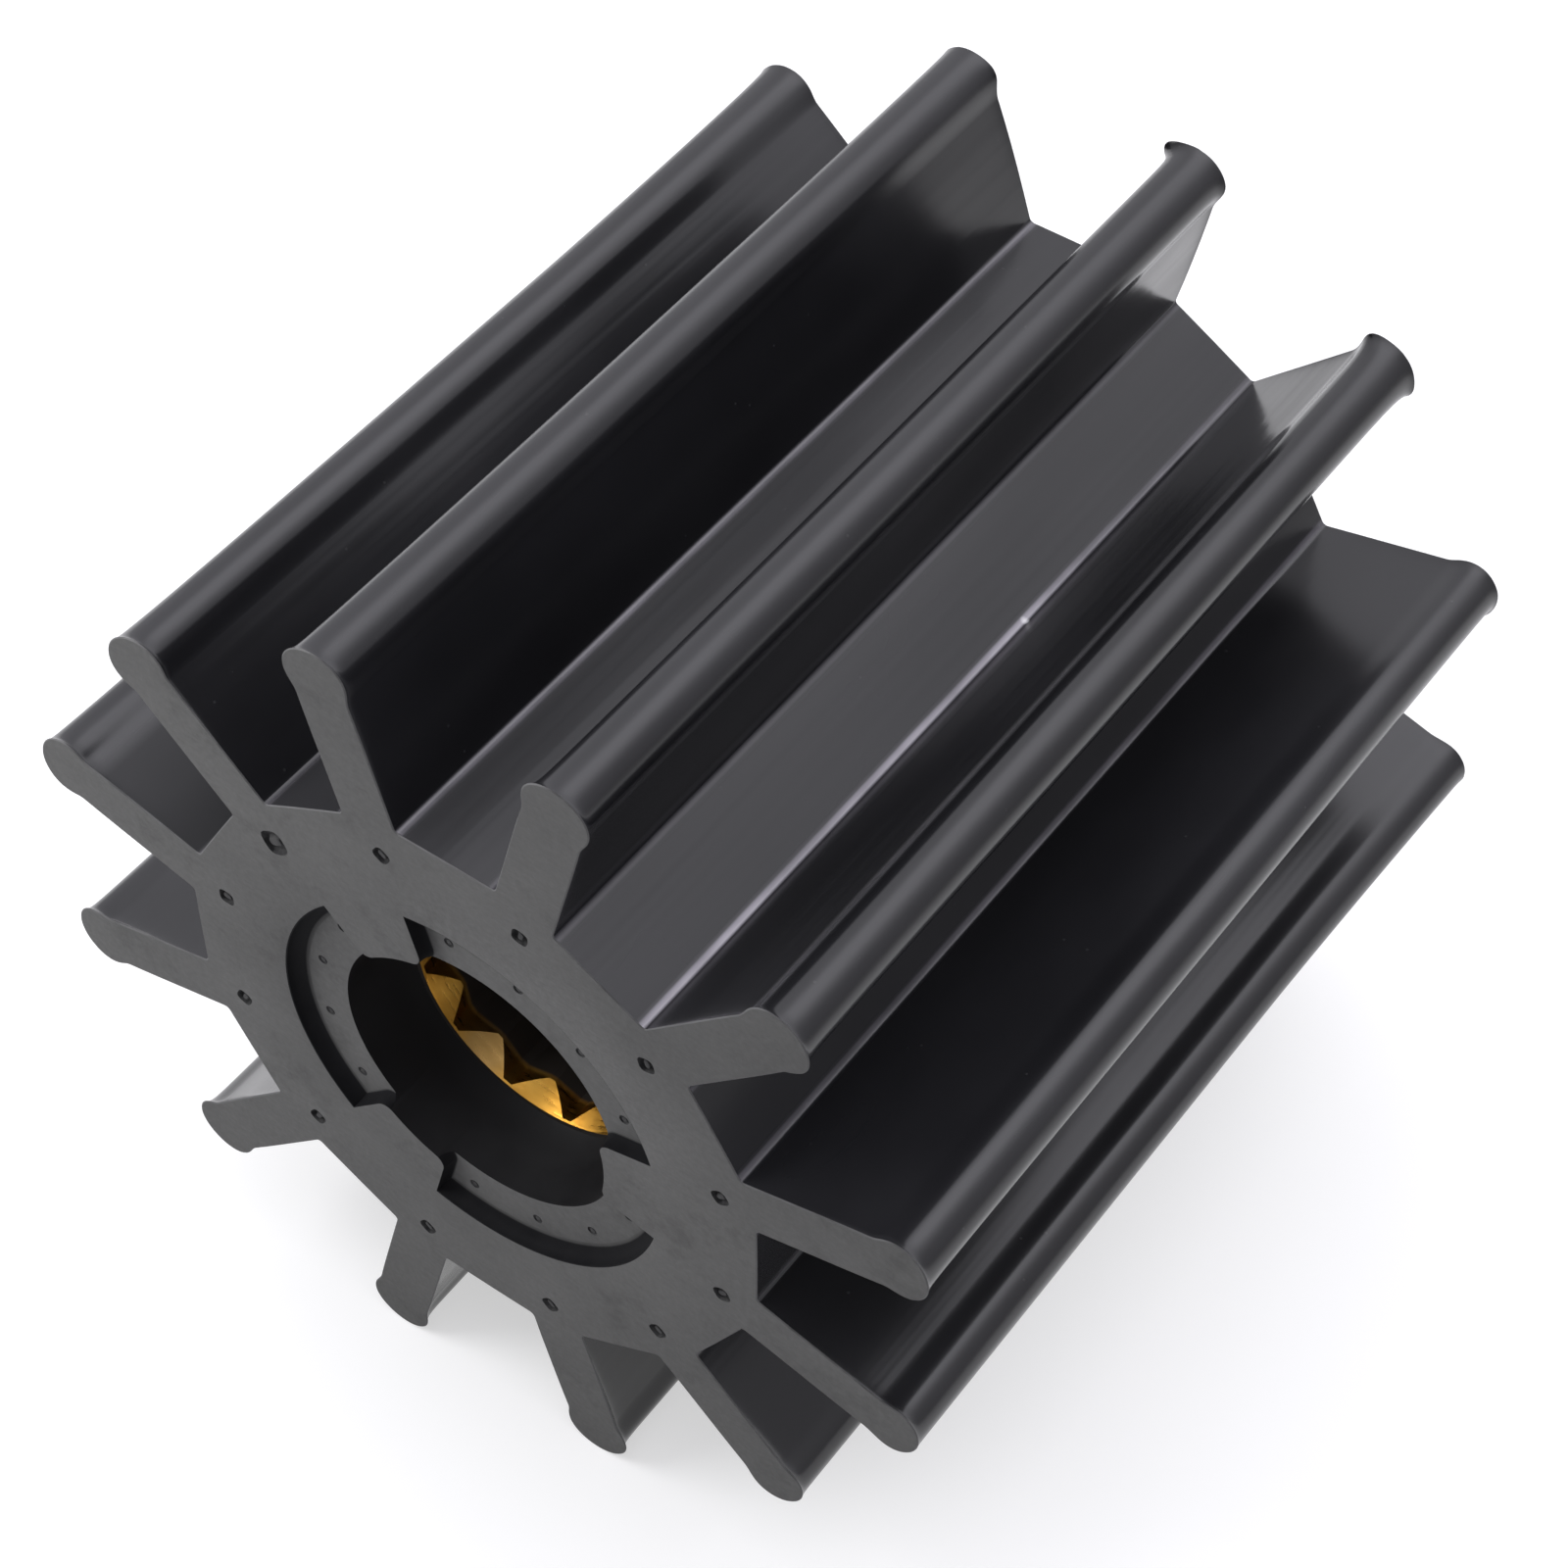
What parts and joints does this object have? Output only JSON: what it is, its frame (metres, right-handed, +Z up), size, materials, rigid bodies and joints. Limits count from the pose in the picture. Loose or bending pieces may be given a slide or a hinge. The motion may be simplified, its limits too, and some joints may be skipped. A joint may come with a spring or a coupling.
{
  "type": "rubber pump impeller",
  "caption": "Moulded rubber pump impeller with straight beaded blades on a thick hub, bonded to a brass insert with a splined bore.",
  "frame": {"origin": "on the shaft axis, midway between the two end faces", "axes": "+Y along the shaft axis from the recessed face to the plain face; +Z up with the impeller lying on two blade tips; +X to the right seen from the recessed face"},
  "size_m": [0.092, 0.09, 0.092],
  "materials": {
    "rubber": "matte moulded rubber with ground end faces",
    "brass": "machined brass"
  },
  "bodies": {
    "root": {"rubber_impeller": "rubber", "splined_brass_insert": "brass"}
  },
  "joints": []
}
